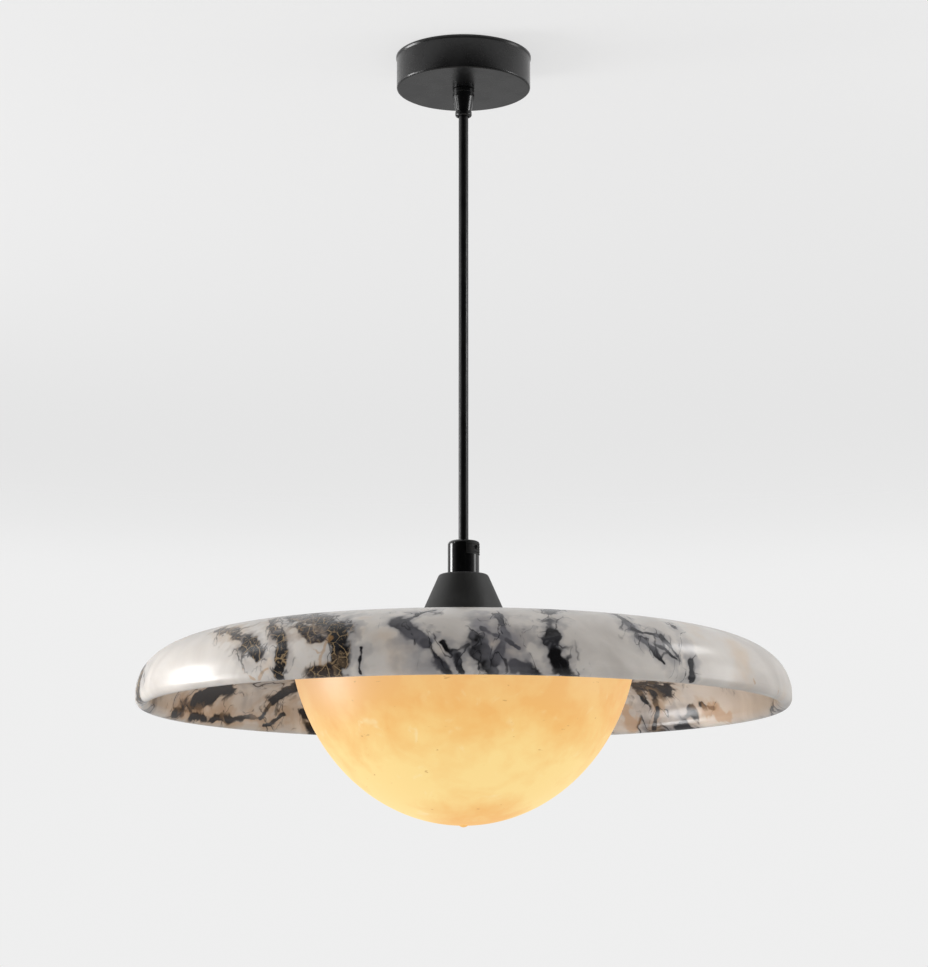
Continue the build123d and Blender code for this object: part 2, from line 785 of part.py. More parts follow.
# Tapped bosses on the skirt, the thumb screws and their soft tips
with BuildPart() as screw_bosses:
    for azimuth in thumb_azimuths:
        with BuildSketch(thumb_plane(azimuth, circle_height(pan_outer_radius, boss_radius))):
            Circle(boss_radius)
        extrude(amount=boss_length)
    with BuildSketch(Plane.XY.offset(pan_top)):
        Circle(pan_outer_radius)
    extrude(amount=-(pan_top - skirt_bottom), mode=Mode.SUBTRACT)
    for azimuth in thumb_azimuths:
        with BuildSketch(thumb_plane(azimuth, bowl_radius)):
            Circle(thumb_radius + 2 * thread_fit)
        extrude(amount=2 * boss_length, mode=Mode.SUBTRACT)
screw_bosses.part.label = "screw_bosses"
export_step(screw_bosses.part, "parts/screw_bosses.step")

tip_start = bowl_radius + running_gap / 2
screw_start = tip_start + thumb_tip_length
head_start = pan_outer_radius + boss_length + thumb_head_gap
for number, azimuth in enumerate(thumb_azimuths, start=1):
    with BuildPart() as thumb_tip:
        with BuildSketch(thumb_plane(azimuth, tip_start)):
            Circle(thumb_radius - 0.1)
        extrude(amount=thumb_tip_length)
    thumb_tip.part.label = f"thumb_tip_{number}"
    export_step(thumb_tip.part, f"parts/thumb_tip_{number}.step")

    with BuildPart() as thumb_screw:
        with BuildSketch(thumb_plane(azimuth, screw_start)):
            Circle(thumb_radius)
        extrude(amount=head_start - screw_start)
        with BuildSketch(thumb_plane(azimuth, head_start)):
            Circle(thumb_head_radius)
            with PolarLocations(thumb_head_radius, thumb_flutes):
                Circle(thumb_flute_radius, mode=Mode.SUBTRACT)
        extrude(amount=thumb_head_length)
        with BuildSketch(thumb_plane(azimuth, head_start)):
            Circle(thumb_head_radius * 0.6)
        extrude(amount=-1.0)
    thumb_screw.part.label = f"thumb_screw_{number}"
    export_step(thumb_screw.part, f"parts/thumb_screw_{number}.step")

# Alabaster bowl: the lower cap of an upright ellipsoid, with the pip left by its turning
bowl_semi_width = bowl_radius / sqrt(1 - (bowl_rise / bowl_semi_height) ** 2)


def bowl_curve(shrink, end_radius, steps=8):
    """Points of the bowl's side from its rim down to this radius, taken in by this much."""
    semi_width = bowl_semi_width - shrink
    semi_height = bowl_semi_height - shrink
    first = asin(bowl_rise / semi_height)
    last = acos(end_radius / semi_width)
    angles = [first + (last - first) * step / steps for step in range(steps + 1)]
    return [(semi_width * cos(angle), bowl_centre - semi_height * sin(angle)) for angle in angles]


bowl_outer = bowl_curve(0, bowl_pip_radius)
bowl_inner = bowl_curve(bowl_wall, 0)
rim_outer = bowl_outer[0][0]
rim_inner = bowl_inner[0][0]
bowl_bottom = bowl_centre - bowl_semi_height - bowl_pip_height
with BuildPart() as bowl:
    with BuildSketch(Plane.XZ):
        with BuildLine():
            Spline(bowl_outer)
            Spline(
                bowl_outer[-1],
                (bowl_pip_radius * 0.4, bowl_bottom + bowl_pip_height * 0.15),
                (0, bowl_bottom),
            )
            Line((0, bowl_bottom), bowl_inner[-1])
            Spline(bowl_inner[::-1], tangents=[(1, 0), (0.1, 1)])
            Line(bowl_inner[0], bowl_outer[0])
        make_face()
    revolve(axis=Axis.Z)
    fillet(bowl.edges().group_by(Axis.Z)[-1], bowl_edge_round)
bowl.part.label = "bowl"
export_step(bowl.part, "parts/bowl.step")

with BuildPart() as bowl_gasket:
    with BuildSketch(Plane.XY.offset(bowl_rim)):
        Circle(rim_outer - bowl_edge_round)
        Circle(rim_inner + bowl_edge_round, mode=Mode.SUBTRACT)
    extrude(amount=bowl_gasket_thickness)
bowl_gasket.part.label = "bowl_gasket"
export_step(bowl_gasket.part, "parts/bowl_gasket.step")

# Lampholder: domed cap, shell, insulator with three terminals, threaded liner and contact
holder_neck_bottom = holder_top - holder_neck_height
holder_cap_bottom = holder_neck_bottom - holder_cap_height
dome_radius = holder_radius - holder_neck_radius
dome_centre = holder_neck_bottom - dome_radius
cap_inner_radius = holder_radius - holder_wall
with BuildPart() as lampholder_cap:
    with BuildSketch(Plane.XZ):
        with BuildLine():
            Line((bore, holder_top), (holder_neck_radius, holder_top))
            Line((holder_neck_radius, holder_top), (holder_neck_radius, holder_neck_bottom))
            RadiusArc((holder_neck_radius, holder_neck_bottom), (holder_radius, dome_centre), dome_radius)
            Line((holder_radius, dome_centre), (holder_radius, holder_cap_bottom))
            Line((holder_radius, holder_cap_bottom), (cap_inner_radius, holder_cap_bottom))
            Line((cap_inner_radius, holder_cap_bottom), (cap_inner_radius, dome_centre))
            RadiusArc(
                (cap_inner_radius, dome_centre),
                (holder_neck_radius, holder_neck_bottom - holder_wall),
                -(dome_radius - holder_wall),
            )
            Line((holder_neck_radius, holder_neck_bottom - holder_wall), (bore, holder_neck_bottom - holder_wall))
            Line((bore, holder_neck_bottom - holder_wall), (bore, holder_top))
        make_face()
    revolve(axis=Axis.Z)
lampholder_cap.part.label = "lampholder_cap"
export_step(lampholder_cap.part, "parts/lampholder_cap.step")

socket_top = holder_cap_bottom - insulator_height
holder_bottom = socket_top - socket_length
shell_lap_radius = cap_inner_radius - thread_fit
with BuildPart() as lampholder_shell:
    with BuildSketch(Plane.XZ):
        with BuildLine():
            Polyline(
                (shell_lap_radius, holder_cap_bottom + holder_lap),
                (shell_lap_radius, holder_cap_bottom),
                (holder_radius, holder_cap_bottom),
                (holder_radius, holder_bottom + 4 * holder_ring),
                (holder_radius + holder_ring, holder_bottom + 3 * holder_ring),
                (holder_radius + holder_ring, holder_bottom),
                (socket_radius + socket_wall + thread_fit, holder_bottom),
                (socket_radius + socket_wall + thread_fit, holder_bottom + holder_wall),
                (shell_lap_radius - holder_wall, holder_bottom + holder_wall + 2.0),
                (shell_lap_radius - holder_wall, holder_cap_bottom + holder_lap),
                close=True,
            )
        make_face()
    revolve(axis=Axis.Z)
lampholder_shell.part.label = "lampholder_shell"
export_step(lampholder_shell.part, "parts/lampholder_shell.step")

insulator_radius = shell_lap_radius - holder_wall - thread_fit
with BuildPart() as lampholder_core:
    with BuildSketch(Plane.XY.offset(socket_top)):
        Circle(insulator_radius)
    extrude(amount=insulator_height)
    with BuildSketch(Plane.XY.offset(socket_top)):
        Circle(socket_radius + socket_wall + 2.0)
        Circle(socket_radius + socket_wall + thread_fit, mode=Mode.SUBTRACT)
    extrude(amount=-socket_length / 2)
    fillet(lampholder_core.edges().group_by(Axis.Z)[-1], 0.8)
lampholder_core.part.label = "lampholder_core"
export_step(lampholder_core.part, "parts/lampholder_core.step")

terminal_azimuths = (0, 120, 240)
with BuildPart() as lampholder_terminals:
    with BuildSketch(Plane.XY.offset(holder_cap_bottom)):
        with PolarLocations(terminal_circle, len(terminal_azimuths)):
            Rectangle(terminal_size, terminal_size)
    extrude(amount=terminal_size)
    with BuildSketch(Plane.XY.offset(holder_cap_bottom + terminal_size)):
        with PolarLocations(terminal_circle, len(terminal_azimuths)):
            Circle(core_radius + thread_fit)
    extrude(amount=-terminal_size + 1.0, mode=Mode.SUBTRACT)
lampholder_terminals.part.label = "lampholder_terminals"
export_step(lampholder_terminals.part, "parts/lampholder_terminals.step")

with BuildPart() as holder_thread:
    with BuildSketch(Plane.XZ):
        with BuildLine():
            Polyline(
                (socket_radius, holder_bottom + 0.5),
                (socket_radius + socket_wall, holder_bottom + 0.5),
                (socket_radius + socket_wall, socket_top),
                (socket_radius - 3.0, socket_top),
                (socket_radius - 3.0, socket_top - socket_wall),
                (socket_radius, socket_top - socket_wall),
                close=True,
            )
        make_face()
    revolve(axis=Axis.Z)
holder_thread.part.label = "holder_thread"
export_step(holder_thread.part, "parts/holder_thread.step")

# Bulb: screw cap, insulated tip, plastic collar and opal glass
bulb_top = holder_bottom - bulb_seat_gap
bulb_cap_radius = socket_radius - bulb_cap_gap
leaf_low = socket_top - leaf_drop
bulb_tip_top = leaf_low - running_gap
bulb_tip_bottom = bulb_tip_top - bulb_tip_height
bulb_cap_top = bulb_tip_bottom - bulb_insulator_height
with BuildPart() as bulb_cap:
    with BuildSketch(Plane.XZ):
        with BuildLine():
            Polyline(
                (0, bulb_top),
                (bulb_cap_radius, bulb_top),
                (bulb_cap_radius, bulb_cap_top),
                (bulb_tip_radius, bulb_tip_bottom),
                (0, bulb_tip_bottom),
                close=True,
            )
        make_face()
    revolve(axis=Axis.Z)
bulb_cap.part.label = "bulb_cap"
export_step(bulb_cap.part, "parts/bulb_cap.step")

with BuildPart() as bulb_tip:
    with BuildSketch(Plane.XY.offset(bulb_tip_bottom)):
        Circle(bulb_tip_radius - 0.6)
    extrude(amount=bulb_tip_height)
    fillet(bulb_tip.edges().group_by(Axis.Z)[-1], bulb_tip_height * 0.6)
bulb_tip.part.label = "bulb_tip"
export_step(bulb_tip.part, "parts/bulb_tip.step")

collar_low = bulb_top - bulb_collar_height
glass_centre = collar_low - bulb_shoulder
with BuildPart() as bulb_housing:
    with BuildSketch(Plane.XZ):
        with BuildLine():
            Line((0, bulb_top), (bulb_cap_radius + 0.4, bulb_top))
            ThreePointArc(
                (bulb_cap_radius + 0.4, bulb_top),
                ((bulb_cap_radius + bulb_shoulder) / 2 - 0.6, (bulb_top + collar_low) / 2 - 1.2),
                (bulb_shoulder, collar_low),
            )
            Line((bulb_shoulder, collar_low), (0, collar_low))
            Line((0, collar_low), (0, bulb_top))
        make_face()
    revolve(axis=Axis.Z)
bulb_housing.part.label = "bulb_housing"
export_step(bulb_housing.part, "parts/bulb_housing.step")


with BuildPart() as bulb_globe:
    with BuildSketch(Plane.XZ):
        with BuildLine():
            for shrink in (0, bulb_wall):
                glass_radius = bulb_radius - shrink
                glass_shoulder = bulb_shoulder - shrink
                glass_side = (glass_radius + glass_shoulder) / 2 + glass_bulge
                CenterArc((0, glass_centre), glass_radius, 270, 90)
                ThreePointArc(
                    (glass_radius, glass_centre),
                    (glass_side, (glass_centre + collar_low) / 2),
                    (glass_shoulder, collar_low),
                )
            Line((bulb_shoulder, collar_low), (bulb_shoulder - bulb_wall, collar_low))
            Line((0, glass_centre - bulb_radius), (0, glass_centre - bulb_radius + bulb_wall))
        make_face()
    revolve(axis=Axis.Z)
bulb_globe.part.label = "bulb_globe"
export_step(bulb_globe.part, "parts/bulb_globe.step")

# Sprung centre contact: a bent leaf under the insulator, just above the bulb's tip
leaf_root = socket_radius - 4.0
with BuildPart() as holder_contact:
    with BuildSketch(Plane.XZ):
        with BuildLine():
            Polyline(
                (-leaf_root, socket_top),
                (-leaf_root + 4.0, socket_top),
                (-2.0, leaf_low + leaf_thickness),
                (2.5, leaf_low + leaf_thickness),
                (2.5, leaf_low),
                (-2.3, leaf_low),
                (-leaf_root + 3.7, socket_top - leaf_thickness),
                (-leaf_root, socket_top - leaf_thickness),
                close=True,
            )
        make_face()
    extrude(amount=leaf_width / 2, both=True)
holder_contact.part.label = "holder_contact"
export_step(holder_contact.part, "parts/holder_contact.step")

# Sheath inside the lamp's tube and its three cores to the terminals
sheath_bottom = holder_neck_bottom - 0.6
with BuildPart() as cord_bottom_end:
    with BuildSketch(Plane.XY.offset(neck_tube_top)):
        Circle(cord_radius)
    extrude(amount=-(neck_tube_top - sheath_bottom))
cord_bottom_end.part.label = "cord_bottom_end"
export_step(cord_bottom_end.part, "parts/cord_bottom_end.step")

for name, azimuth in zip(("lamp_earth_core", "lamp_live_core", "lamp_neutral_core"), terminal_azimuths):
    across = (cos(radians(azimuth)), sin(radians(azimuth)))
    stations = [
        (core_circle, sheath_bottom),
        (core_circle, sheath_bottom - 2.4),
        (terminal_circle, sheath_bottom - 4.6),
        (terminal_circle, holder_cap_bottom + terminal_size - 2.0),
    ]
    core_part = core_along([(r * across[0], r * across[1], z) for r, z in stations], core_bend)
    core_part.part.label = name
    export_step(core_part.part, f"parts/{name}.step")
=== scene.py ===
import math

import bmesh
import bpy
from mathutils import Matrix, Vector


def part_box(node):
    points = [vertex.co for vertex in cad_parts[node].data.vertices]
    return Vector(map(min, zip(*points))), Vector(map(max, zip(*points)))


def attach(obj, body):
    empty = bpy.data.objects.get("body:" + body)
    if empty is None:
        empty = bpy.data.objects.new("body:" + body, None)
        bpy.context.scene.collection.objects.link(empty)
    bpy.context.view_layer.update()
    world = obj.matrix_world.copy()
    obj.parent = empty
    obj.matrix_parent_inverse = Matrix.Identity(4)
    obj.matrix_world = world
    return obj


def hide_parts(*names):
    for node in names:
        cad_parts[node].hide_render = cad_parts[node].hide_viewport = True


bl_info = {
    "name": "Marble disc pendant lamp",
    "version": (1, 0, 0),
    "blender": (4, 5, 0),
    "location": "View3D > Sidebar > Lamp",
    "description": "Dresses the pendant lamp's frame in stone, lacquer, cord and light",
    "category": "Add Mesh",
}

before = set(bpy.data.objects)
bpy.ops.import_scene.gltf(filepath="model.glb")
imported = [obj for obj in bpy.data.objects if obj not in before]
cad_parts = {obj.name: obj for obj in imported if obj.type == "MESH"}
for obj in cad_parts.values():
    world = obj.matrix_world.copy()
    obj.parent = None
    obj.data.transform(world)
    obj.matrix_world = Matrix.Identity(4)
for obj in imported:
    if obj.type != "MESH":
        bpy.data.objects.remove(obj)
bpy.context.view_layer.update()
MM = 0.001

# Where the cord leaves the grip and where it enters the neck.
CORD_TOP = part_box("suspension_cord")[1].z
CORD_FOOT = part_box("suspension_cord")[0].z
# The spline's control points as shares of the cord's straight run.
CORD_STOPS = (0.0, 0.11, 0.5, 0.89, 1.0)

# The photograph's height and its camera's focal length and shift in pixels, then its place and pitch.
PHOTO_HEIGHT = 967
FOCAL_PIXELS = 2594.47
SHIFT_PIXELS = 0.5
SENSOR_WIDTH = 36.0
EYE = (0.0, -1.85615, -0.67387)
LOOK_UP = 10.64
FAR_LIMIT = 60.0

# The point in the lamp that the soft lights face, and how widely they shine in degrees.
AIM = (0, 0, -0.3)
SOFTBOX_SPREAD = 120
# Soft lights out of the picture: name, place, width, height, and the stage setting with the power.
SOFTBOXES = (
    ("left_softbox", (-1.8, 0.3, -0.38), 1.7, 0.6, "left_power"),
    ("right_softbox", (1.8, 0.1, -0.38), 1.3, 0.6, "right_power"),
    ("left_spot", (-0.63, -0.2, -0.04), 0.1, 0.1, "left_spot_power"),
    ("right_spot", (0.65, -0.08, -0.04), 0.16, 0.16, "right_spot_power"),
)

# The ring of warm lights in the dish's hollow: their count, cone and colour, and the ring's place.
WARM_COUNT = 8
WARM_CONE = 150
WARM_BLEND = 0.6
WARM_COLOUR = (1.0, 0.56, 0.24)
WARM_SIZE = 0.02
WARM_RADIUS = 0.166
WARM_HEIGHT = -0.482
WARM_RISE = 0.5

# Directions between which the room turns white: along Y behind the lamp, and along Z below it.
WHITE_BEHIND = (-0.75, 0.15)
WHITE_BELOW = (-0.1, -0.7)
# How bright polish sees the room behind and below the lamp, and the dark side at the camera.
ROOM_GLOSS = 0.46
BELOW_SHARE = 0.8
DARK_GLOSS = 0.012

# Heights and half sizes of the ceiling and the floor. The ceiling clears the CAD box by a hair.
CEILING = (0.0006, 3.0)
FLOOR = (-1.5, 12.0)
# The share of a sheet's brightness that comes from the light on it, and where it fades at its edge.
SHEET_SHARE = 0.28
SHEET_FADE = (0.35, 0.95)
# Polish sees the ceiling behind the first of these depths, and not in front of the second.
GLOSS_DEPTHS = (-0.05, -0.12)


class LampSizes(bpy.types.PropertyGroup):
    cord_diameter: bpy.props.FloatProperty(
        name="Cord diameter",
        description="Outside diameter of the round cord",
        default=7.2 * MM,
        unit="LENGTH",
    )
    rib_pitch: bpy.props.FloatProperty(
        name="Cord rib pitch",
        description="Distance between the fine ribs of the cord's sheath",
        default=0.9 * MM,
        unit="LENGTH",
    )
    cloud_size: bpy.props.FloatProperty(
        name="Cloud size",
        description="Size of the soft clouds in the lit bowl",
        default=38 * MM,
        unit="LENGTH",
    )


class LampColours(bpy.types.PropertyGroup):
    stone_white: bpy.props.StringProperty(
        name="Stone white", description="sRGB hex of the marble's ground", default="E8E2DB"
    )
    glow_deep: bpy.props.StringProperty(
        name="Glow deep", description="sRGB hex of the bowl's deeper amber", default="F6BD6C"
    )
    glow_pale: bpy.props.StringProperty(
        name="Glow pale", description="sRGB hex of the bowl's paler yellow", default="FFDE92"
    )


class LampStage(bpy.types.PropertyGroup):
    backdrop: bpy.props.FloatProperty(
        name="Backdrop", description="Brightness of the pale background", default=0.86, min=0, max=1
    )
    left_power: bpy.props.FloatProperty(
        name="Left softbox", description="Power of the softbox on the left", default=19.0, unit="POWER"
    )
    right_power: bpy.props.FloatProperty(
        name="Right softbox", description="Power of the softbox on the right", default=2.8, unit="POWER"
    )
    left_spot_power: bpy.props.FloatProperty(
        name="Left spot", description="Power of the small light on the left", default=0.12, unit="POWER"
    )
    right_spot_power: bpy.props.FloatProperty(
        name="Right spot", description="Power of the small light on the right", default=0.45, unit="POWER"
    )
    warm_power: bpy.props.FloatProperty(
        name="Warm fill", description="Power of each warm light under the dish", default=0.018, unit="POWER"
    )
    room_light: bpy.props.FloatProperty(
        name="Room light", description="Brightness of the even light from the room", default=0.52, min=0
    )


def linear(code):
    """A colour's sRGB hex code as linear red, green, blue and alpha."""
    parts = [int(code[i:i + 2], 16) / 255 for i in (0, 2, 4)]
    return tuple(p / 12.92 if p <= 0.04045 else ((p + 0.055) / 1.055) ** 2.4 for p in parts) + (1.0,)


def add_node(tree, kind, inputs=None, **settings):
    """Adds a node with its settings, and links or sets the inputs that are named."""
    made = tree.nodes.new(kind)
    for name, value in settings.items():
        setattr(made, name, value)
    for key, value in (inputs or {}).items():
        if isinstance(value, bpy.types.NodeSocket):
            tree.links.new(value, made.inputs[key])
        else:
            made.inputs[key].default_value = value
    return made


def begin_finish(name, settings):
    """A new material with its surface shader set, and the piece's own coordinates."""
    material = bpy.data.materials.new(name)
    material.use_nodes = True
    tree = material.node_tree
    tree.nodes.clear()
    shader = add_node(tree, "ShaderNodeBsdfPrincipled", settings)
    add_node(tree, "ShaderNodeOutputMaterial", {"Surface": shader.outputs[0]})
    place = add_node(tree, "ShaderNodeTexCoord").outputs["Object"]
    return material, tree, shader, place


def dress(material, *names):
    """Gives a material to CAD nodes or new pieces."""
    for name in names:
        mesh = bpy.data.objects[name].data
        mesh.materials.clear()
        mesh.materials.append(material)


def speckle(tree, place, size, detail=2.0, distortion=0.0):
    """Noise with features about this many metres across, from 0 to 1."""
    return add_node(
        tree,
        "ShaderNodeTexNoise",
        {"Vector": place, "Scale": 1.0 / size, "Detail": detail, "Distortion": distortion},
    )


def spread(tree, value, low, high, to_low=0.0, to_high=1.0):
    """A value's range stretched softly to another range."""
    return add_node(
        tree,
        "ShaderNodeMapRange",
        {0: value, 1: low, 2: high, 3: to_low, 4: to_high},
        interpolation_type="SMOOTHSTEP",
    ).outputs[0]


def sums(tree, operation, first, second=0.0):
    """One step of arithmetic."""
    return add_node(tree, "ShaderNodeMath", {0: first, 1: second}, operation=operation).outputs[0]


def vector_sums(tree, operation, inputs, output=0):
    """One step of vector arithmetic."""
    return add_node(tree, "ShaderNodeVectorMath", inputs, operation=operation).outputs[output]


def product(tree, first, second):
    """Two values multiplied."""
    return sums(tree, "MULTIPLY", first, second)


def fold(tree, value, middle):
    """How far a value lies from its middle."""
    return sums(tree, "ABSOLUTE", sums(tree, "SUBTRACT", value, middle))


def axis(tree, place, letter):
    """One coordinate of a place."""
    return add_node(tree, "ShaderNodeSeparateXYZ", {0: place}).outputs[letter]


def tint(tree, factor, first, second):
    """Two colours mixed by a factor."""
    return add_node(tree, "ShaderNodeMix", {0: factor, 6: first, 7: second}, data_type="RGBA").outputs[2]


# How far a coated surface's roughness drifts to each side, and over what distance.
GLOSS_DRIFT = 0.05
DRIFT_SIZE = 18 * MM
# Where it drifts most, its colour is lighter by this factor and this much more.
WORN_GAIN = 1.35
WORN_LIFT = 0.004


def add_bump(tree, shader, height, strength, depth):
    """Gives the shader a grain whose height is this many metres."""
    bump = add_node(tree, "ShaderNodeBump", {"Strength": strength, "Distance": depth, "Height": height})
    tree.links.new(bump.outputs[0], shader.inputs["Normal"])


def powder_finish(name, colour, roughness, grain, coat=0.0, metallic=0.0, depth=0.02):
    """Lacquer, plate or moulding with a fine grain in its height and a slow drift in its gloss."""
    settings = {"Metallic": metallic, "Coat Weight": coat, "Coat Roughness": 0.12}
    material, tree, shader, place = begin_finish(name, settings)
    fine = speckle(tree, place, grain, 3.0).outputs[0]
    slow = speckle(tree, place, DRIFT_SIZE, 2.0).outputs[0]
    worn = tuple(min(1.0, c * WORN_GAIN + WORN_LIFT) for c in linear(colour)[:3]) + (1.0,)
    colour_mix = tint(tree, spread(tree, slow, 0.42, 0.72), linear(colour), worn)
    tree.links.new(colour_mix, shader.inputs["Base Color"])
    rough = spread(tree, slow, 0.3, 0.7, roughness - GLOSS_DRIFT, roughness + GLOSS_DRIFT)
    tree.links.new(rough, shader.inputs["Roughness"])
    add_bump(tree, shader, fine, 0.25, depth * MM)
    return material


# Colours of the stone's marks.
BLACK = "151416"
SMOKE = "85838A"
BROWN = "3A2E28"
OCHRE = "B98B52"
INK = "232328"
UMBER = "2A2320"
# Colours of the stone's ground, of what surrounds its marks, and of the gold in them.
STONE_SHADE = "CFC8C1"
STONE_BLUSH = "DFC3A4"
HALO_GREY = "8B898D"
BLOTCH_GREY = "77767B"
COOL_FRINGE = "8C8B90"
WARM_FRINGE = "B99B78"
GOLD_GRAIN = "75624A"
GOLD_NET = "B79A72"

# The veins wander at three scales: the size of each and how far it reaches.
WANDER = ((26 * MM, 0.012), (8 * MM, 0.003), (1.8 * MM, 0.0008))
# Distances along the depth count less, so that a mark goes on through the stone's wall.
SQUASH = (1.0, 0.45, 1.0)
# Depths between which the random veins come in, behind the marks of the front.
BEHIND = (-0.06, 0.03)
# How far the noise may be from its middle in a random vein, and in the grey round it.
VEIN_SHARE = 0.012
HALO_SHARE = 0.07
# Strands lean, and are drawn out in depth and in height. The last pair is where they fade.
STRAND_LEAN = (0.0, 0.45, 0.0)
STRAND_SCALE = (1.0, 0.4, 0.5)
STRAND_WIDTHS = (0.004, 0.02)
# How soft an edge is as a share of a mark's half width.
SMOKE_EDGE = 0.95
VEIN_EDGE = 0.3
# How strongly smoke and ochre show, then where a vein's fringe starts, how far it reaches and how it shows.
FAINT_LEVEL = 0.48
FRINGE_START = 0.6
FRINGE_REACH = 5
FRINGE_LEVEL = 0.42
# Gold lies in the dark marks in front, left of this X in mm.
GOLD_EDGE = -60

# Marks of the stone in mm: start, end, half width and colour.
MARKS = (
    ((-224, -46, -464), (-225, -60, -474), 2.6, BLACK),
    ((-225, -60, -474), (-228, -54, -486), 6.0, BLACK),
    ((-228, -50, -489), (-212, -62, -490), 1.2, SMOKE),
    ((-163, -137, -450), (-150, -160, -455), 3.2, BROWN),
    ((-150, -160, -455), (-144, -175, -464), 3.6, BROWN),
    ((-142, -178, -465), (-134, -189, -471), 5.2, BLACK),
    ((-143, -183, -481), (-134, -190, -489), 1.0, OCHRE),
    ((-134, -190, -489), (-125, -196, -483), 1.3, OCHRE),
    ((-126, -168, -448), (-119, -194, -464), 3.5, BROWN),
    ((-119, -194, -464), (-116, -202, -489), 4.2, BLACK),
    ((-112, -172, -447), (-96, -188, -450), 6.0, BLACK),
    ((-96, -188, -450), (-80, -210, -462), 8.0, BLACK),
    ((-105, -194, -456), (-90, -210, -466), 4.5, BROWN),
    ((-80, -211, -463), (-82, -218, -490), 7.5, BLACK),
    ((-104, -196, -458), (-92, -212, -476), 1.2, OCHRE),
    ((-86, -212, -466), (-95, -212, -489), 1.8, OCHRE),
    ((-95, -208, -486), (-86, -216, -489), 5.0, BROWN),
    ((-64, -222, -471), (-65, -223, -489), 1.9, INK),
    ((-38, -216, -455), (-20, -203, -447), 1.9, INK),
    ((-38, -217, -456), (-24, -229, -471), 5.0, INK),
    ((-24, -229, -471), (-10, -232, -490), 3.4, INK),
    ((-34, -222, -470), (-24, -230, -486), 11.0, SMOKE),
    ((-14, -230, -470), (-4, -232, -479), 2.2, BLACK),
    ((-4, -232, -479), (-1, -232, -490), 2.6, INK),
    ((12, -208, -449), (10, -226, -462), 5.5, SMOKE),
    ((8, -229, -467), (9, -232, -476), 5.5, BLACK),
    ((9, -232, -476), (18, -232, -490), 5.0, BLACK),
    ((22, -211, -450), (28, -226, -464), 3.2, INK),
    ((28, -226, -464), (18, -231, -484), 3.2, BLACK),
    ((11, -224, -461), (28, -227, -467), 2.0, INK),
    ((28, -227, -467), (36, -228, -473), 1.6, INK),
    ((30, -231, -485), (46, -229, -489), 4.5, BLACK),
    ((20, -225, -462), (30, -230, -486), 13.0, SMOKE),
    ((58, -190, -445), (54, -216, -461), 4.4, BLACK),
    ((54, -216, -461), (57, -225, -477), 5.0, BLACK),
    ((57, -225, -477), (64, -224, -491), 5.4, BLACK),
    ((100, -176, -446), (107, -194, -457), 3.0, INK),
    ((107, -194, -457), (121, -195, -470), 2.1, INK),
    ((121, -195, -470), (128, -194, -479), 2.2, INK),
    ((107, -194, -457), (128, -188, -462), 1.5, INK),
    ((128, -188, -462), (138, -186, -474), 1.9, INK),
    ((116, -194, -463), (139, -186, -477), 1.1, INK),
    ((138, -163, -452), (146, -180, -476), 1.5, INK),
    ((146, -180, -476), (147, -180, -491), 2.2, INK),
    ((184, -134, -466), (193, -129, -484), 0.8, OCHRE),
    ((211, -95, -476), (215, -89, -490), 0.8, OCHRE),
    ((-96, -172, -444), (-118, -70, -440), 5.0, BLACK),
    ((-118, -70, -440), (-190, 10, -447), 3.4, BLACK),
    ((-118, -70, -440), (-62, 50, -440), 2.2, INK),
    ((-62, 50, -440), (-34, 150, -441), 3.2, BLACK),
    ((-34, 150, -441), (-46, 226, -480), 3.4, BLACK),
    ((-46, 178, -446), (-20, 214, -462), 5.0, SMOKE),
    ((58, -176, -443), (46, -60, -440), 2.2, INK),
    ((46, -60, -440), (112, 60, -440), 1.8, INK),
    ((112, 60, -440), (128, 150, -445), 2.6, BLACK),
    ((128, 150, -445), (150, 176, -480), 3.0, BLACK),
    ((112, 60, -440), (214, 82, -466), 2.0, INK),
    ((-214, 63, -487), (-203, 89, -477), 4.0, UMBER),
    ((-203, 89, -477), (-180, 112, -462), 6.5, UMBER),
    ((-205, 92, -487), (-180, 132, -484), 3.0, UMBER),
    ((-180, 132, -484), (-160, 155, -481), 2.2, UMBER),
    ((-160, 155, -481), (-147, 159, -467), 2.4, UMBER),
    ((-147, 159, -467), (-128, 152, -456), 6.0, UMBER),
    ((-156, 159, -485), (-140, 172, -476), 1.4, UMBER),
    ((-127, 176, -473), (-118, 189, -488), 4.5, UMBER),
    ((137, 147, -457), (158, 138, -461), 5.5, UMBER),
    ((146, 150, -461), (150, 161, -471), 2.4, UMBER),
    ((150, 161, -471), (148, 166, -489), 1.6, UMBER),
    ((127, 182, -474), (132, 179, -484), 4.5, OCHRE),
    ((181, 126, -472), (189, 116, -477), 2.2, UMBER),
    ((186, 122, -475), (198, 103, -486), 5.0, OCHRE),
)


def wander(tree, place):
    """A place moved a few mm to and fro, so that what is drawn there runs unevenly."""
    moved = place
    for size, reach in WANDER:
        drift = speckle(tree, place, size, 2.0).outputs["Color"]
        drift = vector_sums(tree, "ADD", {0: drift, 1: (-0.5, -0.5, -0.5)})
        moved = vector_sums(tree, "MULTIPLY_ADD", {0: drift, 1: (reach,) * 3, 2: moved})
    return moved


def stone_ground(tree, place, moved):
    """The white ground, with clouds over about 55 mm and a warm blush here and there."""
    white = linear(bpy.context.scene.lamp_colours.stone_white)
    clouds = speckle(tree, place, 55 * MM, 5.0, 0.8).outputs[0]
    ground = tint(tree, spread(tree, clouds, 0.3, 0.7), white, linear(STONE_SHADE))
    blush = speckle(tree, moved, 45 * MM, 3.0).outputs["Color"]
    return tint(tree, product(tree, spread(tree, blush, 0.55, 0.72), 0.5), ground, linear(STONE_BLUSH))


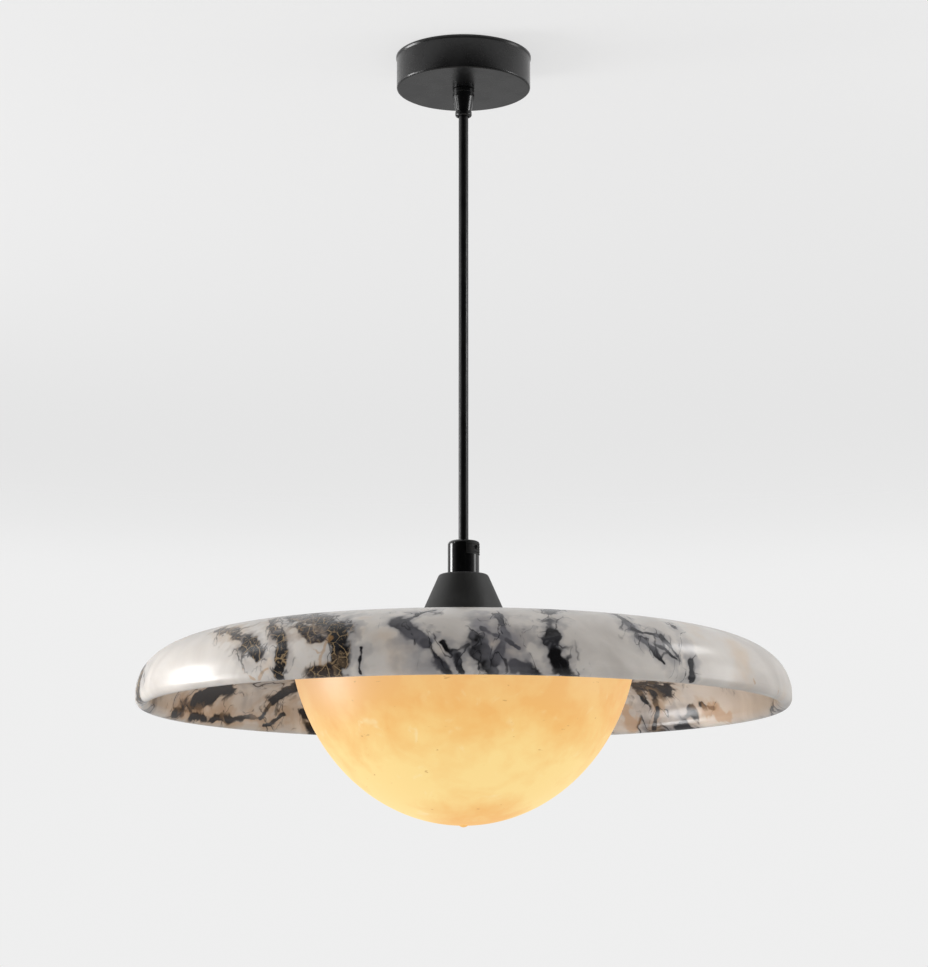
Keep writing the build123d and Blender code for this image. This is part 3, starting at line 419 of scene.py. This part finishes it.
def random_veins(tree, place, moved, ground):
    """Thin lines where slow noise crosses its middle, in clusters, and blotches behind."""
    behind = spread(tree, axis(tree, place, "Y"), *BEHIND)
    cluster = spread(tree, speckle(tree, place, 130 * MM, 1.0).outputs[0], 0.46, 0.58)
    where = product(tree, cluster, behind)
    off_middle = fold(tree, speckle(tree, moved, 95 * MM, 3.0, 1.2).outputs[0], 0.52)
    line = product(tree, spread(tree, off_middle, 0.0, VEIN_SHARE, 1.0, 0.0), where)
    halo = product(tree, spread(tree, off_middle, 0.0, HALO_SHARE, 0.45, 0.0), where)
    blotch = speckle(tree, moved, 75 * MM, 4.0).outputs[0]
    grey = product(tree, spread(tree, blotch, 0.56, 0.68), where)
    dark = product(tree, spread(tree, blotch, 0.645, 0.665), behind)
    colour = tint(tree, halo, ground, linear(HALO_GREY))
    colour = tint(tree, grey, colour, linear(BLOTCH_GREY))
    return tint(tree, sums(tree, "MAXIMUM", line, dark), colour, linear(INK))


def gold_masks(tree, place, moved):
    """Where gold grains of 1 to 2 mm and a net of healed cracks lie in the dark masses."""
    grains = spread(tree, speckle(tree, place, 1.9 * MM, 3.0).outputs[0], 0.54, 0.66)
    cells = {"Vector": moved, "Scale": 1 / (9 * MM)}
    cracks = add_node(tree, "ShaderNodeTexVoronoi", cells, feature="DISTANCE_TO_EDGE").outputs["Distance"]
    return grains, spread(tree, cracks, 0.0, 0.05, 0.7, 0.0)


def mark_gap(tree, flat, start, end):
    """How far each point lies from the straight line of a mark."""
    first = Vector([c * MM * s for c, s in zip(start, SQUASH)])
    run = Vector([c * MM * s for c, s in zip(end, SQUASH)]) - first
    away = vector_sums(tree, "SUBTRACT", {0: flat, 1: first})
    along = vector_sums(tree, "DOT_PRODUCT", {0: away, 1: run / run.length_squared}, "Value")
    along = add_node(tree, "ShaderNodeClamp", {0: along}).outputs[0]
    nearest = vector_sums(tree, "SCALE", {0: run, "Scale": along})
    return vector_sums(tree, "DISTANCE", {0: away, 1: nearest}, "Value")


def drawn_marks(tree, place, moved, colour):
    """The stone's own marks, each with a pale fringe, and fine steep strands beside them."""
    thick = spread(tree, speckle(tree, place, 11 * MM, 2.0).outputs[0], 0.32, 0.68, 0.55, 1.4)
    grains, cracks = gold_masks(tree, place, moved)
    flat = vector_sums(tree, "MULTIPLY", {0: moved, 1: SQUASH})
    near = 0.0
    for start, end, half, code in MARKS:
        gap = sums(tree, "DIVIDE", mark_gap(tree, flat, start, end), thick)
        soft = SMOKE_EDGE if code == SMOKE else VEIN_EDGE
        mask = spread(tree, gap, half * MM * (1 - soft), half * MM * (1 + soft), 1.0, 0.0)
        if code in (SMOKE, OCHRE):
            mask = product(tree, mask, FAINT_LEVEL)
        else:
            shade = WARM_FRINGE if code in (BROWN, UMBER) else COOL_FRINGE
            reach = half * MM + (half + FRINGE_REACH) * MM
            fringe = spread(tree, gap, half * MM * FRINGE_START, reach, FRINGE_LEVEL, 0.0)
            colour = tint(tree, fringe, colour, linear(shade))
            near = sums(tree, "MAXIMUM", near, spread(tree, gap, half * MM, reach, 1.0, 0.0))
        paint = linear(code)
        if code in (BLACK, BROWN) and start[0] < GOLD_EDGE and start[1] < 0:
            paint = tint(tree, grains, paint, linear(GOLD_GRAIN))
            paint = tint(tree, cracks, paint, linear(GOLD_NET))
        colour = tint(tree, mask, colour, paint)
    steep = add_node(tree, "ShaderNodeMapping", {0: moved, 2: STRAND_LEAN, 3: STRAND_SCALE})
    strands = fold(tree, speckle(tree, steep.outputs[0], 17 * MM, 3.0, 0.7).outputs[0], 0.5)
    strands = spread(tree, strands, *STRAND_WIDTHS, 0.75, 0.0)
    return tint(tree, product(tree, strands, near), colour, linear(INK))


def marble_finish():
    """Polished white marble: light goes a little way in, black and ochre veins run through it."""
    settings = {
        "Roughness": 0.27,
        "IOR": 1.5,
        "Subsurface Weight": 0.15,
        "Subsurface Radius": (1.0, 0.8, 0.6),
        "Subsurface Scale": 4 * MM,
    }
    material, tree, shader, place = begin_finish("polished white marble", settings)
    moved = wander(tree, place)
    colour = random_veins(tree, place, moved, stone_ground(tree, place, moved))
    colour = drawn_marks(tree, place, moved, colour)
    tree.links.new(colour, shader.inputs["Base Color"])
    add_bump(tree, shader, speckle(tree, place, 2.0 * MM, 2.0).outputs[0], 0.15, 0.02 * MM)
    return material


# Heights on the bowl between which its painted glow grows and its painted rim shade, a dull rose, comes in,
# and the X range at its left where that painted shade is stronger.
GLOW_HEIGHTS = (-0.492, -0.552)
RIM_SHADE_HEIGHTS = (-0.515, -0.46)
RIM_SHADE_WIDTHS = (-0.02, -0.115)
# The turned pip, round which the glow is held back in a painted shade, and how far round it the glow comes
# back.
PIP = (0.008, -0.02, -0.572)
PIP_SHADE_REACH = (0.012, 0.06)
# How much of the glow's level comes from the clouds, and the level that is taken off.
CLOUD_SHARE = 0.62
GLOW_OFFSET = 0.2
# How far the bowl's own colour, which is its painted glow, is darkened, so that the lights outside hardly
# add to its glow.
BOWL_DIM = 0.9
# Flecks are flattened in height by this factor.
FLECK_SQUASH = 2.6
# Colours of the bowl's pale wisps, its painted rim shade (a dull rose) and its flecks.
WISP = "FFEBB8"
RIM_SHADE_ROSE = "E7B78C"
FLECK = "B58850"


def alabaster_finish():
    """Honed alabaster, lit from inside: its uneven glow is painted as emission, with clouds, wisps, a few
    dark flecks, and painted shade at the pip and near the rim.
    """
    cloud_size = bpy.context.scene.lamp_sizes.cloud_size
    colours = bpy.context.scene.lamp_colours
    settings = {"Emission Strength": 0.89, "Roughness": 0.42, "IOR": 1.52}
    material, tree, shader, place = begin_finish("honed alabaster, lit", settings)
    clouds = speckle(tree, place, cloud_size, 3.0, 0.7).outputs[0]
    mottle = speckle(tree, place, 9 * MM, 4.0, 0.4).outputs[0]
    clouds = sums(tree, "ADD", product(tree, clouds, 0.75), product(tree, mottle, 0.25))
    # The painted light is strongest low on the bowl, held back in a painted shade round the pip, and fades
    # to a painted shade of dull rose near the rim.
    low = spread(tree, axis(tree, place, "Z"), *GLOW_HEIGHTS)
    # Painted shade: the glow is held back round the pip.
    from_pip = vector_sums(tree, "DISTANCE", {0: place, 1: PIP}, "Value")
    painted_glow_belt = product(tree, low, spread(tree, from_pip, *PIP_SHADE_REACH))
    level = product(tree, spread(tree, clouds, 0.3, 0.7), CLOUD_SHARE)
    level = sums(tree, "ADD", level, sums(tree, "SUBTRACT", painted_glow_belt, GLOW_OFFSET))
    level = add_node(tree, "ShaderNodeClamp", {0: level}).outputs[0]
    glow = tint(tree, level, linear(colours.glow_deep), linear(colours.glow_pale))
    wisps = speckle(tree, place, 20 * MM, 3.0, 1.2).outputs[0]
    wisps = product(tree, spread(tree, wisps, 0.58, 0.74), spread(tree, clouds, 0.44, 0.56))
    glow = tint(tree, product(tree, wisps, 0.4), glow, linear(WISP))
    # Painted shade: a dull rose near the rim, all round and stronger at the left.
    rim = spread(tree, axis(tree, place, "Z"), *RIM_SHADE_HEIGHTS)
    side = spread(tree, axis(tree, place, "X"), *RIM_SHADE_WIDTHS)
    rim_shade = product(tree, rim, sums(tree, "ADD", product(tree, side, 0.45), 0.3))
    glow = tint(tree, rim_shade, glow, linear(RIM_SHADE_ROSE))
    flecks = add_node(tree, "ShaderNodeMapping", {0: place, 3: (1.0, 1.0, FLECK_SQUASH)}).outputs[0]
    flecks = spread(tree, speckle(tree, flecks, 8 * MM, 2.0).outputs[0], 0.71, 0.78)
    glow = tint(tree, product(tree, flecks, 0.5), glow, linear(FLECK))
    tree.links.new(tint(tree, BOWL_DIM, glow, linear("000000")), shader.inputs["Base Color"])
    tree.links.new(glow, shader.inputs["Emission Color"])
    add_bump(tree, shader, speckle(tree, place, 1.5 * MM, 3.0).outputs[0], 0.2, 0.03 * MM)
    return material


# The distance over which a wave texture of scale 1 repeats.
WAVE_REPEAT = 0.31416
# The heights of the bulb's globe between which its glow changes, from the first colour to the second.
GLOBE_HEIGHTS = (-0.532, -0.478)
GLOBE_PALE = "FFF0D0"
GLOBE_WARM = "FFE0AE"


def cord_finish():
    """Extruded round sheath: black PVC, satin, with faint ribs round it from the extruder."""
    ribs = WAVE_REPEAT / bpy.context.scene.lamp_sizes.rib_pitch
    material, tree, shader, place = begin_finish("black PVC cord sheath", {"Base Color": linear("0B0B0C")})
    rings = add_node(tree, "ShaderNodeTexWave", {"Vector": place, "Scale": ribs}, bands_direction="Z")
    slow = speckle(tree, place, 30 * MM).outputs[0]
    tree.links.new(spread(tree, slow, 0.3, 0.7, 0.3, 0.42), shader.inputs["Roughness"])
    add_bump(tree, shader, rings.outputs[0], 0.12, 0.02 * MM)
    return material


class LAMP_OT_camera(bpy.types.Operator):
    """Camera at the photograph's place, below the lamp and looking up"""

    bl_idname = "lamp.camera"
    bl_label = "Camera"

    def execute(self, context):
        data = bpy.data.cameras.new("camera")
        data.lens = FOCAL_PIXELS / PHOTO_HEIGHT * SENSOR_WIDTH
        data.sensor_width = SENSOR_WIDTH
        data.clip_end = FAR_LIMIT
        data.shift_x = SHIFT_PIXELS / PHOTO_HEIGHT
        view = bpy.data.objects.new("camera", data)
        view.location = EYE
        view.rotation_euler = (math.radians(90 + LOOK_UP), 0.0, 0.0)
        context.scene.collection.objects.link(view)
        context.scene.camera = view
        return {"FINISHED"}


class LAMP_OT_stage(bpy.types.Operator):
    """Pale ceiling, pale floor, soft light from both sides and a warm ring in the dish"""

    bl_idname = "lamp.stage"
    bl_label = "Stage"

    def execute(self, context):
        stage = context.scene.lamp_stage
        context.scene.view_settings.view_transform = "Standard"
        self.room(stage.backdrop, stage.room_light)
        self.sheet("pale_ceiling", *CEILING, True, stage.backdrop)
        self.sheet("pale_floor", *FLOOR, False, stage.backdrop)
        for name, place, width, height, power in SOFTBOXES:
            self.softbox(name, place, width, height, getattr(stage, power))
        self.warm_ring(stage.warm_power)
        return {"FINISHED"}

    def room(self, backdrop, light):
        """A pale room that lights evenly, and that polish sees white behind the lamp and dark in front."""
        world = bpy.data.worlds.new("studio")
        world.use_nodes = True
        bpy.context.scene.world = world
        tree = world.node_tree
        tree.nodes.clear()
        rays = add_node(tree, "ShaderNodeLightPath")
        way = add_node(tree, "ShaderNodeTexCoord").outputs["Generated"]
        behind = spread(tree, axis(tree, way, "Y"), *WHITE_BEHIND)
        below = spread(tree, axis(tree, way, "Z"), *WHITE_BELOW)
        shine = sums(tree, "MAXIMUM", behind, product(tree, below, BELOW_SHARE))
        shine = sums(tree, "ADD", product(tree, shine, ROOM_GLOSS), DARK_GLOSS)
        white = (1.0, 1.0, 1.0, 1.0)
        seen = add_node(tree, "ShaderNodeBackground", {0: (backdrop,) * 3 + (1.0,), 1: 1.0}).outputs[0]
        glossy = add_node(tree, "ShaderNodeBackground", {0: white, 1: shine}).outputs[0]
        lit = add_node(tree, "ShaderNodeBackground", {0: white, 1: light}).outputs[0]
        choice = {0: rays.outputs["Is Glossy Ray"], 1: lit, 2: glossy}
        mix = add_node(tree, "ShaderNodeMixShader", choice).outputs[0]
        clear = sums(tree, "MAXIMUM", rays.outputs["Is Camera Ray"], rays.outputs["Is Transmission Ray"])
        mix = add_node(tree, "ShaderNodeMixShader", {0: clear, 1: mix, 2: seen}).outputs[0]
        add_node(tree, "ShaderNodeOutputWorld", {"Surface": mix})

    def sheet(self, name, height, half, faces_down, level):
        """A wide sheet that shows from its own side only and keeps the lamp's shadow."""
        form = bmesh.new()
        bmesh.ops.create_grid(form, x_segments=1, y_segments=1, size=half)
        bmesh.ops.translate(form, verts=form.verts, vec=(0, 0, height))
        if faces_down:
            bmesh.ops.reverse_faces(form, faces=form.faces)
        mesh = bpy.data.meshes.new(name)
        form.to_mesh(mesh)
        form.free()
        sheet = bpy.data.objects.new(name, mesh)
        bpy.context.scene.collection.objects.link(sheet)
        mesh.materials.append(self.sheet_paint(name, half, faces_down, level))

    def sheet_paint(self, name, half, faces_down, level):
        """Pale paint that is hidden from behind, at its far edge and to the lamp's own light."""
        material = bpy.data.materials.new(name.replace("_", " ") + " paint")
        material.use_nodes = True
        tree = material.node_tree
        tree.nodes.clear()
        rays = add_node(tree, "ShaderNodeLightPath")
        back = add_node(tree, "ShaderNodeNewGeometry").outputs["Backfacing"]
        place = add_node(tree, "ShaderNodeTexCoord").outputs["Object"]
        middle = vector_sums(tree, "LENGTH", {0: place}, "Value")
        edge = spread(tree, middle, SHEET_FADE[0] * half, SHEET_FADE[1] * half)
        own_level = (level * (1 - SHEET_SHARE),) * 3 + (1.0,)
        own = add_node(tree, "ShaderNodeEmission", {0: own_level, 1: 1.0}).outputs[0]
        paint = add_node(tree, "ShaderNodeBsdfDiffuse", {0: (SHEET_SHARE,) * 3 + (1.0,)}).outputs[0]
        body = add_node(tree, "ShaderNodeAddShader", {0: own, 1: paint}).outputs[0]
        clear = add_node(tree, "ShaderNodeBsdfTransparent").outputs[0]
        hidden = sums(tree, "MAXIMUM", sums(tree, "MAXIMUM", back, edge), rays.outputs["Is Diffuse Ray"])
        # Polish doesn't show the ceiling in front of the lamp, nor the floor.
        front = spread(tree, axis(tree, place, "Y"), *GLOSS_DEPTHS) if faces_down else 1.0
        hidden = sums(tree, "MAXIMUM", hidden, product(tree, rays.outputs["Is Glossy Ray"], front))
        shown = add_node(tree, "ShaderNodeMixShader", {0: hidden, 1: body, 2: clear}).outputs[0]
        add_node(tree, "ShaderNodeOutputMaterial", {"Surface": shown})
        return material

    def softbox(self, name, place, width, height, power):
        """A soft rectangular light that faces the lamp and isn't seen itself."""
        light = bpy.data.lights.new(name, "AREA")
        light.shape = "RECTANGLE"
        light.size = width
        light.size_y = height
        light.energy = power
        light.spread = math.radians(SOFTBOX_SPREAD)
        lamp = bpy.data.objects.new(name, light)
        lamp.location = place
        lamp.rotation_euler = (Vector(AIM) - Vector(place)).to_track_quat("-Z", "Z").to_euler()
        lamp.visible_camera = False
        bpy.context.scene.collection.objects.link(lamp)

    def warm_ring(self, power):
        """Warm lights round the bowl, which stand for its glow in the hollow of the dish."""
        for turn in range(WARM_COUNT):
            angle = math.radians((turn + 0.5) * 360 / WARM_COUNT)
            light = bpy.data.lights.new("warm_fill", "SPOT")
            light.energy = power
            light.spot_size = math.radians(WARM_CONE)
            light.spot_blend = WARM_BLEND
            light.color = WARM_COLOUR
            light.shadow_soft_size = WARM_SIZE
            lamp = bpy.data.objects.new("warm_fill", light)
            lamp.location = (WARM_RADIUS * math.cos(angle), WARM_RADIUS * math.sin(angle), WARM_HEIGHT)
            outward = Vector((math.cos(angle), math.sin(angle), WARM_RISE))
            lamp.rotation_euler = outward.to_track_quat("-Z", "Z").to_euler()
            lamp.visible_camera = False
            lamp.visible_glossy = False
            bpy.context.scene.collection.objects.link(lamp)


class LAMP_OT_cord(bpy.types.Operator):
    """The cord, taut between the grip and the neck"""

    bl_idname = "lamp.cord"
    bl_label = "Cord"

    def execute(self, context):
        sizes = context.scene.lamp_sizes
        curve = bpy.data.curves.new("black_cord", "CURVE")
        curve.dimensions = "3D"
        spline = curve.splines.new("NURBS")
        run = CORD_TOP - CORD_FOOT
        spline.points.add(len(CORD_STOPS) - 1)
        for point, share in zip(spline.points, CORD_STOPS):
            point.co = (0.0, 0.0, CORD_TOP - run * share, 1.0)
        spline.order_u = 3
        spline.use_endpoint_u = True
        curve.bevel_depth = sizes.cord_diameter / 2
        curve.bevel_resolution = 6
        curve.use_fill_caps = True
        cord = bpy.data.objects.new("black_cord", curve)
        context.scene.collection.objects.link(cord)
        curve.materials.append(cord_finish())
        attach(cord, "cord")
        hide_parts("suspension_cord")
        dress(curve.materials[0], "cord_top_end", "cord_bottom_end")
        return {"FINISHED"}


class LAMP_OT_stones(bpy.types.Operator):
    """Marble for the dish and lit alabaster for the bowl"""

    bl_idname = "lamp.stones"
    bl_label = "Stones"

    def execute(self, context):
        dress(marble_finish(), "marble_disc")
        dress(alabaster_finish(), "bowl")
        return {"FINISHED"}


class LAMP_OT_black_metal(bpy.types.Operator):
    """Lacquer, blackened steel and powder coat on the black pieces"""

    bl_idname = "lamp.black_metal"
    bl_label = "Black metal"

    def execute(self, context):
        # Baked satin lacquer hides the spinning lines and takes broad, soft reflections.
        satin = powder_finish("satin black lacquer", "0B0B0C", 0.27, 1.2 * MM)
        dress(satin, "canopy", "grip_collar", "grip_cap")
        # Gloss lacquer on a turned neck shows narrow, bright reflections.
        gloss = powder_finish("gloss black lacquer", "0A0A0B", 0.12, 2.5 * MM, coat=0.3, depth=0.01)
        dress(gloss, "neck_body")
        # The clamp is blackened steel, which takes almost no light.
        dress(powder_finish("blackened steel", "0A0A0A", 0.6, 0.8 * MM), "cord_clamp")
        # Powder coat is matt, with an orange-peel grain near 0.6 mm.
        dress(
            powder_finish("matt black powder coat", "1D1D1C", 0.52, 0.6 * MM, depth=0.04),
            "lamp_cone", "gallery_pan", "screw_bosses", "thumb_screw_1", "thumb_screw_2", "thumb_screw_3",
        )
        return {"FINISHED"}


class LAMP_OT_fittings(bpy.types.Operator):
    """Plated steel, brass, rubber and mouldings of the hidden fittings"""

    bl_idname = "lamp.fittings"
    bl_label = "Fittings"

    def execute(self, context):
        # Bright zinc is a pale blue-grey metal with a soft, uneven shine.
        dress(
            powder_finish("bright zinc plate", "A9ACB2", 0.32, 0.8 * MM, metallic=1.0),
            "ceiling_bracket", "ceiling_nipple", "bracket_nuts", "earth_screw", "clamp_screw",
            "lamp_nipple", "lamp_nut", "hanger_yoke", "pan_screws", "terminal_screws",
        )
        # Plain brass is left bare where it carries current.
        dress(
            powder_finish("plain brass", "C9A35A", 0.26, 0.8 * MM, metallic=1.0),
            "terminal_sleeves", "earth_tag", "lampholder_terminals", "holder_thread", "holder_contact",
        )
        # Moulded rubber is matt.
        dress(
            powder_finish("black rubber", "171717", 0.7, 0.5 * MM),
            "grip_bush", "flex_seat", "cone_gasket", "disc_gasket", "bowl_gasket",
        )
        # The wires' coverings carry the usual colours of live, neutral and earth.
        for name, colour, core in (
            ("brown core PVC", "5A3420", "live_core"),
            ("blue core PVC", "2C5FA3", "neutral_core"),
            ("green core PVC", "4F8F2E", "earth_core"),
        ):
            dress(powder_finish(name, colour, 0.4, 1 * MM), "ceiling_" + core, "lamp_" + core)
        # Nylon is milky white, where screws press on stone and in the terminal block.
        nylon = powder_finish("white nylon", "E3E2DD", 0.45, 1 * MM)
        dress(nylon, "terminal_block", "thumb_tip_1", "thumb_tip_2", "thumb_tip_3")
        # The lampholder is a dark moulding round a glazed porcelain core.
        moulding = powder_finish("black phenolic moulding", "161616", 0.36, 1.2 * MM)
        dress(moulding, "lampholder_cap", "lampholder_shell")
        dress(powder_finish("glazed porcelain", "E2E0D8", 0.18, 3 * MM, coat=0.4), "lampholder_core")
        return {"FINISHED"}


class LAMP_OT_bulb(bpy.types.Operator):
    """The bulb in its holder"""

    bl_idname = "lamp.bulb"
    bl_label = "Bulb"

    def execute(self, context):
        # The screw cap is thin nickel plate, and the collar above the globe a white moulding.
        dress(powder_finish("nickel plate", "C4C1BA", 0.24, 0.8 * MM, metallic=1.0), "bulb_cap", "bulb_tip")
        dress(powder_finish("white PBT moulding", "E4E4E1", 0.35, 1.2 * MM), "bulb_housing")
        # Opal glass spreads the light evenly, a little warmer toward its collar.
        settings = {"Emission Strength": 1.1, "Base Color": linear("F6F0E2"), "Roughness": 0.22}
        opal, tree, shader, place = begin_finish("opal glass, lit", settings)
        level = spread(tree, axis(tree, place, "Z"), *GLOBE_HEIGHTS)
        glow = tint(tree, level, linear(GLOBE_PALE), linear(GLOBE_WARM))
        tree.links.new(glow, shader.inputs["Emission Color"])
        dress(opal, "bulb_globe")
        return {"FINISHED"}


class LAMP_PT_panel(bpy.types.Panel):
    bl_idname = "LAMP_PT_panel"
    bl_label = "Pendant lamp"
    bl_space_type = "VIEW_3D"
    bl_region_type = "UI"
    bl_category = "Lamp"

    def draw(self, context):
        scene = context.scene
        for group in (scene.lamp_sizes, scene.lamp_colours, scene.lamp_stage):
            for name in group.__annotations__:
                self.layout.prop(group, name)
        for step in STEPS:
            self.layout.operator(step.bl_idname)


STEPS = (
    LAMP_OT_camera,
    LAMP_OT_stage,
    LAMP_OT_cord,
    LAMP_OT_stones,
    LAMP_OT_black_metal,
    LAMP_OT_fittings,
    LAMP_OT_bulb,
)
GROUPS = {"lamp_sizes": LampSizes, "lamp_colours": LampColours, "lamp_stage": LampStage}


def register():
    for name, group in GROUPS.items():
        bpy.utils.register_class(group)
        setattr(bpy.types.Scene, name, bpy.props.PointerProperty(type=group))
    for item in (*STEPS, LAMP_PT_panel):
        bpy.utils.register_class(item)


def unregister():
    for item in (*STEPS, LAMP_PT_panel):
        bpy.utils.unregister_class(item)
    for name, group in GROUPS.items():
        delattr(bpy.types.Scene, name)
        bpy.utils.unregister_class(group)


def main():
    register()
    for step in STEPS:
        area, name = step.bl_idname.split(".")
        getattr(getattr(bpy.ops, area), name)()


if __name__ == "__main__":
    main()
